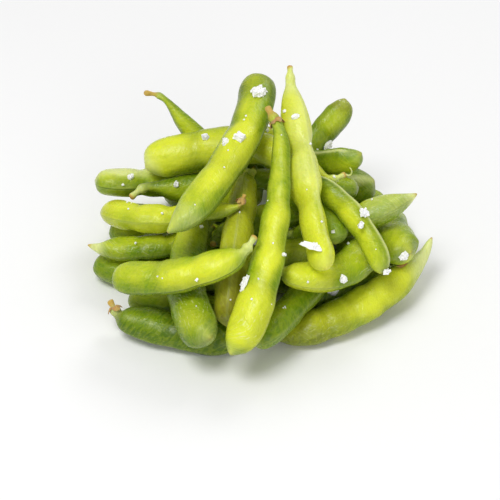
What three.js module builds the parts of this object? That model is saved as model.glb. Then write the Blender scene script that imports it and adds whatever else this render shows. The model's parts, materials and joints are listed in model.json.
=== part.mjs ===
// A heap of cooked edamame pods with coarse salt, as it lies on a flat surface.
// Units are millimetres and +Z is up. The origin is on the surface, under the middle of the heap.
// Each pod is one solid with its stalk, calyx, swollen beans and beak. Each large salt flake is a solid too.
import * as THREE from "three";

// Driving dimensions
const POD_WIDTH = 13.4; // across the two seams
const POD_THICKNESS = 10.2; // over a bean
const WAIST_WIDTH = 0.97; // width between two beans, as a share of the width over a bean
const WAIST_THICKNESS = 0.86; // the same for the thickness, where a pod doesn't give its own
const STALK_TURN = 3.2; // how far the stalk's end bends out of the pod's line
const BEAK_TURN = 1.6;
const GAP = 0.4; // clearance kept between neighbours
const FLAT_SPOT = 0.7; // depth of a pod's underside that is pressed flat on the surface
const FRONT_HEIGHT = THREE.MathUtils.degToRad(38); // the front of the heap is seen from this far above level
const FACES_SEEN = 10; // sides of a pod's section, on the outside of the heap and inside it
const FACES_BURIED = 8;
const RINGS_SEEN = [-0.3, 0, 0.3]; // where the rings of a bean lie, as shares of its stretch
const RINGS_BURIED = [-0.25, 0.25];
const FLAKE_GAP = 0.12; // clearance under a salt flake

const SKINS = {
  bright: new THREE.MeshStandardMaterial({ name: "skin_bright", color: 0xb4cf2a, roughness: 0.42 }),
  fresh: new THREE.MeshStandardMaterial({ name: "skin_fresh", color: 0x86ad2c, roughness: 0.45 }),
  olive: new THREE.MeshStandardMaterial({ name: "skin_olive", color: 0xa3a63c, roughness: 0.5 }),
};
const SALT = new THREE.MeshStandardMaterial({ name: "salt", color: 0xf4f5ee, roughness: 0.35 });

// How a pod ends. Each ring of an end is its place along the pod, and its half width and half thickness
// as shares of the pod's own. The beans lie between the two ends.
const STALK = {
  beans: 0.2,
  rings: [[0.004, 0.14], [0.055, 0.15], [0.08, 0.29], [0.11, 0.25], [0.155, 0.5]],
};
const SLIM_NECK = {
  beans: 0.26,
  rings: [[0.004, 0.14], [0.025, 0.15], [0.045, 0.25], [0.08, 0.26], [0.16, 0.4]],
};
const SHORT_NECK = {
  beans: 0.16,
  rings: [[0.004, 0.14], [0.025, 0.15], [0.045, 0.25], [0.08, 0.28], [0.12, 0.46]],
};
const LONG_NECK = {
  beans: 0.4,
  rings: [[0.004, 0.14], [0.07, 0.15], [0.1, 0.26], [0.14, 0.23], [0.28, 0.5]],
};
const BLUNT = { beans: 0.1, rings: [[0.007, 0.38], [0.03, 0.7], [0.066, 0.92]] };
const ROUND_TIP = { beans: 0.91, rings: [[0.935, 0.82], [0.97, 0.54], [0.992, 0.2]] };
const POINT_TIP = { beans: 0.8, rings: [[0.85, 0.68], [0.91, 0.38], [0.985, 0.1]] };
const TAPERED_TIP = { beans: 0.86, rings: [[0.895, 0.74], [0.94, 0.5], [0.985, 0.16]] };
const LONG_TIP = { beans: 0.7, rings: [[0.76, 0.72], [0.84, 0.46], [0.92, 0.25], [0.985, 0.1]] };

// The pods, as they are laid: where the stalk end and the beak end lie, how far the pod is bowed sideways,
// how far it is rolled about its own line (0 turns a broad side to the front, 90 a seam), how hard it is
// pressed into the heap, the size of each bean, how its two ends are shaped, and how fat it is. Lean moves
// the deepest place of the bow towards the beak, and waist is the thickness between two beans.
const ONE_BEAN = [1];
const TWO_BEANS = [0.94, 1];
const THREE_BEANS = [0.9, 1, 0.96];
const FOUR_BEANS = [0.3, 0.55, 0.8, 0.96];
const SEEN_PODS = [
  { name: "pod_top_left", skin: "bright", stalk: [0.8, 28.9, 67.7], beak: [-28.9, -33.5, 39],
    bow: 7.8, lean: 0.75, roll: -20, press: 2.5, start: BLUNT, end: TAPERED_TIP, beans: [1, 1, 0.95] },
  { name: "pod_top_right", skin: "bright", stalk: [10.5, 16.5, 78.3], beak: [23, -38.4, 27.8],
    bow: -2, roll: 75, press: 1.2, beans: [1, 1.05, 0.75], waist: 0.6, start: SHORT_NECK, fat: 0.92 },
  { name: "pod_long_middle", skin: "bright", stalk: [11, 3, 69.6], beak: [-10.8, -60, 13.3],
    bow: 6.2, roll: 20, press: 2.5, beans: FOUR_BEANS, start: SLIM_NECK },
  { name: "pod_back_left_horn", stalk: [-37.4, 41.8, 52.2], beak: [-5, 14, 24],
    bow: 1, roll: 20, press: 0.2, beans: ONE_BEAN, start: LONG_NECK, fat: 0.64 },
  { name: "pod_upper_left", skin: "bright", stalk: [18, 18.9, 41.2], beak: [-39, 11.9, 39.2],
    bow: -3, roll: 10, press: 1.5, fat: 1.08 },
  { name: "pod_left_rim", stalk: [-10, 28, 22], beak: [-57.6, 18.6, 26.5],
    bow: 2, roll: 70, press: 0.2 },
  { name: "pod_left_stalk", stalk: [-44, 6.8, 32], beak: [2, 14, 24],
    bow: 1, roll: 20, beans: TWO_BEANS, start: LONG_NECK, fat: 0.95 },
  { name: "pod_left_curved", skin: "bright", stalk: [-10, 1, 22.6], beak: [-50, 12.4, 18.4],
    bow: 9, lean: 1.7, roll: 20, fat: 0.98 },
  { name: "pod_left_point", stalk: [-14, 4, 14], beak: [-58.2, -3.2, 13.2],
    bow: 2.5, roll: 30, end: POINT_TIP, fat: 0.75 },
  { name: "pod_front_left_long", stalk: [0, -33, 37], beak: [-45.8, -24, 18],
    bow: 5.6, roll: 20, fat: 0.94 },
  { name: "pod_front_left_low", stalk: [-50, -32.5, 9.6], beak: [-6, -41, 5],
    bow: -2, roll: 15, beans: TWO_BEANS, fat: 0.95 },
  { name: "pod_front_wide", stalk: [-17, 4, 34], beak: [-13, -49, 8], bow: -9, roll: 10, fat: 1.05 },
  { name: "pod_middle_olive", skin: "olive", stalk: [-0.6, 16, 34], beak: [-12, -44, 13.4],
    bow: -5, roll: 10, fat: 1.08 },
  { name: "pod_under_top_left", skin: "bright", stalk: [-3, -12, 38], beak: [-25, -10, 36],
    bow: 2, roll: 20, beans: ONE_BEAN, start: LONG_NECK, fat: 0.54 },
  { name: "pod_back_right_blunt", stalk: [3.6, 21, 19], beak: [33.4, 41, 46],
    bow: -1, roll: 40, press: 0.2, beans: [0.9, 1, 1.05], fat: 0.72 },
  { name: "pod_right_back_seamed", stalk: [0, 34.5, 24.5], beak: [37, 20.5, 35],
    bow: -3, roll: 50, press: 0.2, end: TAPERED_TIP, fat: 0.82 },
  { name: "pod_right_curled_stalk", skin: "bright", stalk: [29, 0, 37.8], beak: [-2, 20, 43.5],
    bow: 1, roll: 20, press: 1.5, beans: ONE_BEAN, start: LONG_NECK, fat: 0.86 },
  { name: "pod_right_back_low", stalk: [0, 38, 16], beak: [42, 21, 24], bow: -2, roll: 20, press: 0.2 },
  { name: "pod_right_point", stalk: [8, 4, 13.4], beak: [56.5, 11, 22],
    bow: -4, roll: 15, end: POINT_TIP, fat: 0.98 },
  { name: "pod_right_diagonal", skin: "bright", stalk: [14.5, 3, 39.4], beak: [42.6, -18, 14],
    bow: 5, roll: 35, fat: 0.66 },
  { name: "pod_right_round", stalk: [46, 26, 15], beak: [52, -13, 12],
    bow: -2, roll: 10, beans: [0.95, 1.1], fat: 1 },
  { name: "pod_front_right_long", skin: "bright", stalk: [0, -42, 5], beak: [61.4, 1.4, 14],
    bow: -8, roll: 20, beans: [0.95, 1, 1, 0.9], end: LONG_TIP, fat: 0.97 },
  { name: "pod_front_hook", skin: "bright", stalk: [6, -35, 29], beak: [36, -12, 22],
    bow: -9, roll: 10, beans: TWO_BEANS, fat: 0.95 },
  { name: "pod_front_low", stalk: [26, -14, 14], beak: [0, -50, 10],
    bow: 1, roll: 20, beans: TWO_BEANS, fat: 0.92 },
  { name: "pod_right_inner", stalk: [8, 20, 30], beak: [30, -8, 20],
    bow: 1, roll: 20, beans: TWO_BEANS, fat: 0.85 },
  { name: "pod_right_inner_low", stalk: [24, 22, 16], beak: [33, -14, 13],
    bow: 1, roll: 20, beans: TWO_BEANS, fat: 0.85 },
  { name: "pod_right_low", stalk: [52, -7, 7], beak: [12, -22, 7], bow: 2, roll: 20, beans: TWO_BEANS },
];
const BURIED_PODS = [
  { name: "pod_base_left", stalk: [-4, -14, 5], beak: [-52, 0, 5], bow: 3 },
  { name: "pod_base_back_left", skin: "bright", stalk: [-4, 4, 5], beak: [-52, 24, 5], bow: -3 },
  { name: "pod_base_back", stalk: [14, 20, 5], beak: [-32, 46, 5], bow: 3 },
  { name: "pod_base_back_right", stalk: [0, 52, 5], beak: [46, 30, 5], bow: -3 },
  { name: "pod_base_right", stalk: [8, 6, 5], beak: [56, 18, 5], bow: 3 },
  { name: "pod_base_middle", stalk: [-18, -14, 5], beak: [34, -6, 5], bow: -3 },
  { name: "pod_base_front", stalk: [8, -28, 5], beak: [-42, -20, 5], bow: 2 },
  { name: "pod_core_left", stalk: [-10, -14, 15], beak: [-48, 16, 14], bow: 3 },
  { name: "pod_core_back", skin: "bright", stalk: [20, 32, 14], beak: [-32, 38, 14], bow: -3 },
  { name: "pod_core_front", stalk: [-24, -22, 15], beak: [24, -18, 15], bow: 2, roll: 10 },
  { name: "pod_core_high", stalk: [-14, -10, 25], beak: [32, -2, 24], bow: 3 },
  { name: "pod_crown_right", skin: "bright", stalk: [-12, 16, 32], beak: [30, 12, 26], bow: -2, fat: 0.85 },
  { name: "pod_core_high_back", stalk: [22, 42, 22], beak: [-30, 38, 26], bow: -3 },
];

// The large salt flakes: where each is seen from the front, in millimetres across and up from the middle of
// the surface, its length, breadth and thickness, how it is turned, and its points if it is a cluster.
const FLAKES = [
  { name: "salt_flake_star", at: [1, 62], size: [7.4, 6.2, 1.6], turn: 40, points: 5 },
  { name: "salt_flake_cluster", at: [-5.5, 45.5], size: [5.6, 5.2, 1.7], turn: 10, points: 4 },
  { name: "salt_flake_beside_cluster", at: [-10, 44], size: [3.2, 2.6, 1.1], turn: 60 },
  { name: "salt_flake_upper_left", at: [-17.5, 47.5], size: [3.2, 3, 1.2], turn: 20 },
  { name: "salt_flake_top_right", at: [13.5, 52.5], size: [3.6, 2.1, 1.1], turn: 0 },
  { name: "salt_flake_back_right", at: [26, 46], size: [3.8, 3.2, 1.2], turn: 35 },
  { name: "salt_flake_right_inner", at: [29.3, 15.3], size: [3.8, 3.2, 1.2], turn: 15 },
  { name: "salt_flake_long_left", at: [-3, -3], size: [6.6, 2.2, 1], turn: 58 },
  { name: "salt_flake_long_right", at: [17, 1.5], size: [9.4, 2.8, 1], turn: -24 },
  { name: "salt_flake_hook", at: [32.5, 7.5], size: [3.4, 2.2, 1], turn: 80 },
  { name: "salt_flake_hook_end", at: [36.9, 1.8], size: [2.8, 2.2, 1], turn: 10 },
  { name: "salt_flake_front_pair_left", at: [26.5, -6.5], size: [3.6, 3.2, 1.2], turn: 30 },
  { name: "salt_flake_front_pair_right", at: [31.5, -9], size: [3.2, 3, 1.2], turn: 75 },
  { name: "salt_flake_right_rim", at: [50, 6], size: [3.6, 3, 1.2], turn: 50 },
  { name: "salt_flake_left_stalk", at: [-28, 31], size: [2.8, 2.2, 1], turn: 70 },
  { name: "salt_flake_left_rim", at: [-44.5, 33.5], size: [2.6, 2, 1], turn: 15 },
];

// A pod in its own frame: its line runs along X from stalk to beak, its width along Y and its thickness
// along Z. A ring is one section: how far along the line it is, and half its width and thickness.
function podRings(pod, perBean) {
  const fat = pod.fat ?? 1;
  const width = (POD_WIDTH / 2) * fat;
  const thickness = (POD_THICKNESS / 2) * fat;
  const start = pod.start ?? STALK;
  const end = pod.end ?? ROUND_TIP;
  const beans = pod.beans ?? THREE_BEANS;
  const waist = pod.waist ?? WAIST_THICKNESS;
  const pitch = (end.beans - start.beans) / beans.length;
  const endRing = ([at, share]) => {
    const flatness = THREE.MathUtils.smoothstep(share, 0.25, 0.9);
    return { at, width: width * share, thickness: THREE.MathUtils.lerp(width, thickness, flatness) * share };
  };
  const rings = start.rings.map(endRing);
  beans.forEach((size, k) => {
    const middle = start.beans + (k + 0.5) * pitch;
    const last = k === beans.length - 1;
    for (const along of perBean) {
      const bulge = 1 - 3 * (1 - waist) * along * along;
      const firstHalf = k === 0 && along < 0 && start !== BLUNT;
      const taper = firstHalf ? 0.9 : 1;
      rings.push({
        at: middle + along * pitch,
        width: width * (0.4 + 0.6 * size) * (0.97 + 0.03 * bulge) * taper,
        thickness: thickness * (0.3 + 0.7 * size) * bulge * taper,
      });
    }
    if (!last) {
      const slighter = (size + beans[k + 1]) / 2;
      rings.push({
        at: middle + pitch / 2,
        width: width * WAIST_WIDTH * (0.4 + 0.6 * slighter),
        thickness: thickness * waist * (0.3 + 0.7 * slighter),
      });
    }
  });
  return [...rings, ...end.rings.map(endRing)];
}

// The pod's middle line, with its bow, its bent stalk and its hooked beak.
function podLine(pod, length) {
  const bowed = (share) => pod.bow * (1 - (2 * share ** (pod.lean ?? 1) - 1) ** 2);
  const side = pod.bow < 0 ? -1 : 1;
  const pointAt = (share) => new THREE.Vector3(length * (share - 0.5), bowed(share), 0);
  const points = [0.1, 0.3, 0.5, 0.7, 0.9].map(pointAt);
  const stalkTurn = pod.start === BLUNT ? 0 : STALK_TURN;
  const stalkEnd = new THREE.Vector3(-length / 2, -side * stalkTurn, stalkTurn / 2);
  const beakEnd = new THREE.Vector3(length / 2, -side * BEAK_TURN, 0);
  return new THREE.CatmullRomCurve3([stalkEnd, ...points, beakEnd], false, "centripetal");
}

// Rings are placed on the line with their width square to it.
function placedRings(pod, length, perBean) {
  const line = podLine(pod, length);
  return podRings(pod, perBean).map((ring) => {
    const tangent = line.getTangentAt(ring.at);
    const middle = line.getPointAt(ring.at);
    const across = new THREE.Vector3(-tangent.y, tangent.x, 0).normalize();
    const up = new THREE.Vector3().crossVectors(tangent, across).normalize();
    return { ...ring, middle, across, up };
  });
}

// A sphere's rows of vertices are drawn out onto the rings, and its poles onto the ends of the line.
function podGeometry(pod, length, faces, perBean) {
  const rings = placedRings(pod, length, perBean);
  const line = podLine(pod, length);
  const geometry = new THREE.SphereGeometry(1, faces, rings.length + 1);
  const position = geometry.getAttribute("position");
  const perRow = faces + 1;
  const offset = faces % 4 === 0 ? 0.5 : 0; // two columns of vertices face down, and two up
  const point = new THREE.Vector3();
  for (let i = 0; i < position.count; i += 1) {
    const row = Math.floor(i / perRow);
    const turn = -(((i % perRow) % faces) + offset) * ((2 * Math.PI) / faces);
    if (row === 0 || row === rings.length + 1) {
      point.copy(line.getPointAt(row === 0 ? 0 : 1));
    } else {
      const ring = rings[row - 1];
      point.copy(ring.middle);
      point.addScaledVector(ring.across, ring.width * Math.cos(turn));
      point.addScaledVector(ring.up, ring.thickness * Math.sin(turn));
    }
    position.setXYZ(i, point.x, point.y, point.z);
  }
  geometry.deleteAttribute("uv");
  geometry.computeVertexNormals();
  return geometry;
}

// Balls that fill a pod, beside each other where it is wider than thick. They keep neighbours apart.
function podBalls(pod, length) {
  const balls = [];
  const line = podLine(pod, length);
  const rings = placedRings(pod, length, [-0.3, 0, 0.3]);
  const spacing = 2.6;
  const steps = Math.ceil(length / spacing);
  for (let i = 0; i <= steps; i += 1) {
    const at = i / steps;
    const next = Math.max(1, rings.findIndex((ring) => ring.at >= at));
    const before = at > rings.at(-1).at ? rings.at(-1) : rings[next - 1];
    const after = at > rings.at(-1).at ? rings.at(-1) : rings[next];
    const share = THREE.MathUtils.clamp((at - before.at) / Math.max(1e-6, after.at - before.at), 0, 1);
    const width = THREE.MathUtils.lerp(before.width, after.width, share);
    const thickness = THREE.MathUtils.lerp(before.thickness, after.thickness, share);
    const middle = line.getPointAt(at);
    const tangent = line.getTangentAt(at);
    const across = new THREE.Vector3(-tangent.y, tangent.x, 0).normalize();
    const out = Math.max(0, width - thickness);
    const sides = out > 1.6 ? [-1, 0, 1] : out > 0.4 ? [-1, 1] : [0];
    for (const side of sides) {
      balls.push({ own: middle.clone().addScaledVector(across, side * out), radius: thickness + GAP / 2 });
    }
  }
  return balls;
}

// How a pod is turned when it is laid from its stalk end to its beak end. A pod on the outside turns its
// broad side to the front of the heap before it is rolled, and one inside turns it up.
const FRONT = new THREE.Vector3(0, -Math.cos(FRONT_HEIGHT), Math.sin(FRONT_HEIGHT));
const UP = new THREE.Vector3(0, 0, 1);

function laidTurn(pod, stalk, beak, facing) {
  const along = beak.clone().sub(stalk).normalize();
  const broad = facing.clone().addScaledVector(along, -facing.dot(along)).normalize();
  const across = new THREE.Vector3().crossVectors(broad, along);
  const basis = new THREE.Matrix4().makeBasis(along, across, broad);
  const roll = THREE.MathUtils.degToRad(pod.roll ?? 0);
  const turn = new THREE.Quaternion().setFromRotationMatrix(basis);
  return turn.multiply(new THREE.Quaternion().setFromAxisAngle(new THREE.Vector3(1, 0, 0), roll));
}

// Settling: the pods start as laid, sink a little at each step, and push each other apart where they meet.
const STEPS = 420;
const LAST_STEPS = 160; // of these, the steps with no sinking, which only clear what still touches
const SINK = 0.05;
const ROLL_INERTIA = 60; // against turning about a pod's own line, for a mass of 1
const TURN_INERTIA = 300; // and about its two other axes

function startBody(pod, seen) {
  const stalk = new THREE.Vector3(...pod.stalk);
  const beak = new THREE.Vector3(...pod.beak);
  const length = stalk.distanceTo(beak);
  const turn = laidTurn(pod, stalk, beak, seen ? FRONT : UP);
  const middle = stalk.add(beak).multiplyScalar(0.5);
  const balls = podBalls(pod, length).map((ball) => ({ ...ball, at: new THREE.Vector3() }));
  const laid = { laidMiddle: middle.clone(), laidTurn: turn.clone() };
  const body = { pod, seen, length, balls, middle, turn, ...laid };
  moveBalls(body);
  return body;
}

function moveBalls(body) {
  for (const ball of body.balls) {
    ball.at.copy(ball.own).applyQuaternion(body.turn).add(body.middle);
  }
}

const arm = new THREE.Vector3();
const spin = new THREE.Vector3();
const back = new THREE.Quaternion();
const step = new THREE.Quaternion();

// The turn that a push at a point gives a body: its arm crossed with the push, over the body's inertia.
function spinFrom(body, point, push) {
  arm.subVectors(point, body.middle);
  spin.crossVectors(arm, push);
  spin.applyQuaternion(back.copy(body.turn).invert());
  spin.set(spin.x / ROLL_INERTIA, spin.y / TURN_INERTIA, spin.z / TURN_INERTIA);
  return spin.applyQuaternion(body.turn);
}

function give(body, point, normal) {
  const turned = spinFrom(body, point, normal);
  return 1 + normal.dot(turned.clone().cross(arm.subVectors(point, body.middle)));
}

function shove(body, point, push) {
  const turned = spinFrom(body, point, push);
  step.set(turned.x / 2, turned.y / 2, turned.z / 2, 1).normalize();
  body.turn.premultiply(step).normalize();
  body.middle.add(push);
  moveBalls(body);
}

function deepestMeeting(a, b) {
  const found = { depth: 0 };
  for (const p of a.balls) {
    for (const q of b.balls) {
      const reach = p.radius + q.radius;
      const apart = p.at.distanceToSquared(q.at);
      if (apart < reach * reach && reach - Math.sqrt(apart) > found.depth) {
        found.depth = reach - Math.sqrt(apart);
        found.p = p;
        found.q = q;
      }
    }
  }
  return found;
}

function partPair(a, b) {
  if (a.middle.distanceTo(b.middle) > (a.length + b.length) / 2 + POD_WIDTH) return;
  const { depth, p, q } = deepestMeeting(a, b);
  if (depth <= 0) return;
  const normal = new THREE.Vector3().subVectors(p.at, q.at).normalize();
  const point = p.at.clone().add(q.at).multiplyScalar(0.5);
  const share = depth / (give(a, point, normal) + give(b, point, normal));
  shove(a, point, normal.clone().multiplyScalar(share));
  shove(b, point, normal.clone().multiplyScalar(-share));
}

function liftOffSurface(body) {
  const underside = (ball) => ball.at.z - ball.radius;
  const lowest = body.balls.reduce((low, ball) => (underside(ball) < underside(low) ? ball : low));
  const depth = lowest.radius - GAP / 2 - FLAT_SPOT / 2 - lowest.at.z;
  if (depth <= 0) return;
  const normal = new THREE.Vector3(0, 0, 1);
  const point = lowest.at.clone();
  shove(body, point, normal.multiplyScalar(depth / give(body, point, normal)));
}

// A pod on the outside keeps its place and its slant as the front shows them, and is free to lean into
// the heap.
function holdLaid(body) {
  const back = body.laidMiddle.clone().sub(body.middle);
  if (body.seen) {
    const depth = FRONT.clone().multiplyScalar(back.dot(FRONT));
    body.middle.addScaledVector(back.sub(depth), 0.3);
    const now = new THREE.Vector3(1, 0, 0).applyQuaternion(body.turn);
    const laid = new THREE.Vector3(1, 0, 0).applyQuaternion(body.laidTurn);
    const slant = now.addScaledVector(FRONT, -now.dot(FRONT)).normalize();
    const laidSlant = laid.addScaledVector(FRONT, -laid.dot(FRONT)).normalize();
    const swing = Math.asin(THREE.MathUtils.clamp(slant.clone().cross(laidSlant).dot(FRONT), -1, 1));
    body.turn.premultiply(step.setFromAxisAngle(FRONT, swing * 0.3)).normalize();
    body.turn.slerp(body.laidTurn, 0.01);
  } else {
    body.middle.addScaledVector(back, 0.01);
    body.turn.slerp(body.laidTurn, 0.005);
  }
}

function settle(bodies) {
  for (let i = 0; i < STEPS; i += 1) {
    const sinking = i < STEPS - LAST_STEPS;
    for (const body of bodies) {
      if (sinking) {
        body.middle.addScaledVector(body.seen ? FRONT : UP, -SINK * (body.pod.press ?? 1));
        holdLaid(body);
        moveBalls(body);
      }
      liftOffSurface(body);
    }
    bodies.forEach((a, k) => {
      for (const b of bodies.slice(k + 1)) partPair(a, b);
    });
  }
}

// The pods, with any underside that meets the surface pressed flat on it.
const outside = SEEN_PODS.map((pod) => startBody(pod, true));
const inside = BURIED_PODS.map((pod) => startBody(pod, false));
const bodies = [...outside, ...inside];
settle(bodies);

function pressFlat(mesh) {
  const position = mesh.geometry.getAttribute("position");
  const point = new THREE.Vector3();
  for (let i = 0; i < position.count; i += 1) {
    mesh.localToWorld(point.fromBufferAttribute(position, i));
    if (point.z < FLAT_SPOT) point.z = 0;
    mesh.worldToLocal(point);
    position.setXYZ(i, point.x, point.y, point.z);
  }
  mesh.geometry.computeVertexNormals();
}

function podMesh(body) {
  const faces = body.seen ? FACES_SEEN : FACES_BURIED;
  const perBean = body.seen ? RINGS_SEEN : RINGS_BURIED;
  const geometry = podGeometry(body.pod, body.length, faces, perBean);
  const mesh = new THREE.Mesh(geometry, SKINS[body.pod.skin ?? "fresh"]);
  mesh.name = body.pod.name;
  mesh.position.copy(body.middle);
  mesh.quaternion.copy(body.turn);
  mesh.updateMatrixWorld();
  pressFlat(mesh);
  return mesh;
}

// A salt flake is a low crystal with an uneven outline, or a star of crystals. It lies flat against the pod
// that is met first when looking from the front at its place.
let seed = 11;
function draw() {
  seed = (seed * 16807) % 2147483647;
  return seed / 2147483647;
}

function flakeGeometry({ size, points }) {
  const sides = points ? points * 2 : 6;
  const outline = Array.from({ length: sides }, (_, k) => (points && k % 2 ? 0.55 : 0.86) + 0.14 * draw());
  const geometry = new THREE.CylinderGeometry(0.36, 0.5, 1, sides, 1);
  const position = geometry.getAttribute("position");
  for (let i = 0; i < position.count; i += 1) {
    const [x, y, z] = [position.getX(i), position.getY(i), position.getZ(i)];
    const column = Math.round((Math.atan2(x, z) / (2 * Math.PI)) * sides + sides) % sides;
    const reach = Math.hypot(x, z) < 1e-6 ? 1 : outline[column];
    position.setXYZ(i, x * reach * size[0], -z * reach * size[1], (y + 0.5) * size[2]);
  }
  geometry.deleteAttribute("uv");
  geometry.computeVertexNormals();
  return geometry;
}

function flakeMesh(flake, pods) {
  const across = new THREE.Vector3(1, 0, 0);
  const above = new THREE.Vector3().crossVectors(FRONT, across);
  const from = FRONT.clone().multiplyScalar(300);
  from.addScaledVector(across, flake.at[0]).addScaledVector(above, flake.at[1]);
  const met = new THREE.Raycaster(from, FRONT.clone().negate()).intersectObjects(pods)[0];
  const out = met.face.normal.clone().transformDirection(met.object.matrixWorld);
  const mesh = new THREE.Mesh(flakeGeometry(flake), SALT);
  mesh.name = flake.name;
  const right = new THREE.Vector3(1, 0, 0).addScaledVector(out, -out.x).normalize();
  const forward = new THREE.Vector3().crossVectors(out, right);
  mesh.quaternion.setFromRotationMatrix(new THREE.Matrix4().makeBasis(right, forward, out));
  mesh.rotateZ(THREE.MathUtils.degToRad(flake.turn));
  mesh.position.copy(met.point);
  mesh.updateMatrixWorld();
  mesh.position.addScaledVector(out, liftOver(mesh, pods, out) + FLAKE_GAP);
  return mesh;
}

// How far a flake is lifted so that its flat underside clears the pods below it.
function liftOver(mesh, pods, out) {
  const position = mesh.geometry.getAttribute("position");
  const start = 15;
  let lift = 0;
  for (const share of [0.5, 1]) {
    for (let i = 0; i < position.count; i += 1) {
      const point = new THREE.Vector3(position.getX(i) * share, position.getY(i) * share, 0);
      const from = mesh.localToWorld(point).addScaledVector(out, start);
      const below = new THREE.Raycaster(from, out.clone().negate(), 0, start + 2).intersectObjects(pods)[0];
      if (below) lift = Math.max(lift, start - below.distance);
    }
  }
  return lift;
}

// The heap, moved so that its origin is on the surface under the middle of its bounds.
const pods = bodies.map(podMesh);
const flakes = FLAKES.map((flake) => flakeMesh(flake, pods));
const heap = new THREE.Group();
heap.add(...pods, ...flakes);
const middle = new THREE.Box3().setFromObject(heap, true).getCenter(new THREE.Vector3());
for (const mesh of heap.children) {
  mesh.position.x -= middle.x;
  mesh.position.y -= middle.y;
}

export default heap;
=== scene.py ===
"""A heap of cooked edamame pods with coarse salt, on a pale surface. Units are metres and +Z is up."""

import json
import math
import random

import bmesh
import bpy
import numpy as np
from bpy.props import FloatProperty, FloatVectorProperty, IntProperty, PointerProperty
from mathutils import Matrix, Vector
from mathutils.bvhtree import BVHTree

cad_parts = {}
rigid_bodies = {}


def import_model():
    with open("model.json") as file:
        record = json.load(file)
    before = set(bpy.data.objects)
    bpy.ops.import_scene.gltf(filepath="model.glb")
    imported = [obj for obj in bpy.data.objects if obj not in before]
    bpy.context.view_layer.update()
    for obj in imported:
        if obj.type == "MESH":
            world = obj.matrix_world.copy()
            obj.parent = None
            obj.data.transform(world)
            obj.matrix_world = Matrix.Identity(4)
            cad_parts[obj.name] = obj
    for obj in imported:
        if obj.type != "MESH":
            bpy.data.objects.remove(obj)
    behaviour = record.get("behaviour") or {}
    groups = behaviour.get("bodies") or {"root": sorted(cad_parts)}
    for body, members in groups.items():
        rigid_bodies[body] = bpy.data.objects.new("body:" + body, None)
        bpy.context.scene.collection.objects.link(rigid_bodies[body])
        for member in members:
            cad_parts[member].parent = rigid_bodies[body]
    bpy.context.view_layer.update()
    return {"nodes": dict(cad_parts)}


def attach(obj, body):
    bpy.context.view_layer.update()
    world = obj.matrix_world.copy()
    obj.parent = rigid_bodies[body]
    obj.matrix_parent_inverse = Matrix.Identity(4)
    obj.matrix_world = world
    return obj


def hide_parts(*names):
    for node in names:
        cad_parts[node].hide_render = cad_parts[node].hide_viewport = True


bl_info = {
    "name": "Edamame Pod Heap",
    "version": (1, 0, 0),
    "blender": (4, 5, 0),
    "location": "View3D > Sidebar > Edamame",
    "description": "Builds a heap of cooked edamame pods with coarse salt",
    "category": "Add Mesh",
}

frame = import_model()
MM = 0.001

# The view from the front
CAMERA_HEIGHT = math.radians(38)
CAMERA_AIM = Vector((-0.00367, -0.00389, 0.01385))
CAMERA_DISTANCE = 0.52
CAMERA_LENS = 107.8
TOWARDS_CAMERA = Vector((0, -math.cos(CAMERA_HEIGHT), math.sin(CAMERA_HEIGHT)))
UP_IN_VIEW = Vector((0, math.sin(CAMERA_HEIGHT), math.cos(CAMERA_HEIGHT)))

# The light: each lamp's name, place, width and share of the lamp power
LAMPS = (
    ("key_lamp", (-0.3, -0.3, 0.95), 0.5, 1.0),
    ("back_lamp", (0.35, 0.65, 0.75), 0.45, 0.4),
    ("front_lamp", (0.35, -0.9, 0.4), 0.6, 0.4),
)
LAMPS_AIM = Vector((0, 0, 0.03))
ROOM_LIGHT = 0.42
FLOOR_GAP = 0.0001


def linear(code):
    """A display colour such as 86ad2c as linear red, green and blue."""
    parts = [int(code[i:i + 2], 16) / 255 for i in (0, 2, 4)]
    return tuple(p / 12.92 if p <= 0.04045 else ((p + 0.055) / 1.055) ** 2.4 for p in parts)


SCORCHED = linear("6b4a1e")
SEAM_SHADE = linear("4a6410")
# Painted glints of wet skin
PAINTED_GLINT = linear("eef3c0")
SEPAL_FIBRE = linear("5a3312")
HAZY_SALT = linear("f2f5e8")
CARD_TOOTH = linear("f0f0f0")


# Settings

class PodSettings(bpy.types.PropertyGroup):
    seam_height: FloatProperty(
        name="Seam height", description="How far the seams stand out of a pod",
        default=0.00026, min=0, max=0.001, unit="LENGTH")
    wrinkle_depth: FloatProperty(
        name="Wrinkle depth", description="How deep the folds and dents of the skin are",
        default=0.00022, min=0, max=0.001, unit="LENGTH")
    sepal_length: FloatProperty(
        name="Sepal length", description="Length of the dried lobes where a pod meets its stalk",
        default=0.0018, min=0.001, max=0.01, unit="LENGTH")
    green: FloatVectorProperty(
        name="Green", description="Skin of a fresh green pod", subtype="COLOR",
        default=linear("80a20f"), min=0, max=1)
    # Bright green: the pods' ripe yellow-green, and painted light on broad sides, bulging beans, fronts and
    # pods on top of the heap
    bright: FloatVectorProperty(
        name="Bright green", description="Skin where a pod is ripe and well lit through", subtype="COLOR",
        default=linear("dee634"), min=0, max=1)
    # Deep green: the pods' darker tone, and painted shade by the seams, at the waists and over pods low in
    # the heap
    deep_and_shaded: FloatVectorProperty(
        name="Deep green", description="Skin where a pod is darkest", subtype="COLOR",
        default=linear("3f5e08"), min=0, max=1)
    # Olive: skin browned in cooking; over the stalk half of pod_front_right_long it also paints shade
    olive: FloatVectorProperty(
        name="Olive", description="Skin that has browned in cooking", subtype="COLOR",
        default=linear("878116"), min=0, max=1)
    # Pale: necks, seams and tips, and painted highlights where a pale patch lies down a pod's front
    pale_and_highlit: FloatVectorProperty(
        name="Pale", description="Necks, seams and tips", subtype="COLOR",
        default=linear("dfe694"), min=0, max=1)
    tan: FloatVectorProperty(
        name="Tan", description="Dried stalks and beaks", subtype="COLOR",
        default=linear("c6a452"), min=0, max=1)
    rust: FloatVectorProperty(
        name="Rust", description="Dried sepals", subtype="COLOR",
        default=linear("c08b45"), min=0, max=1)


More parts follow.
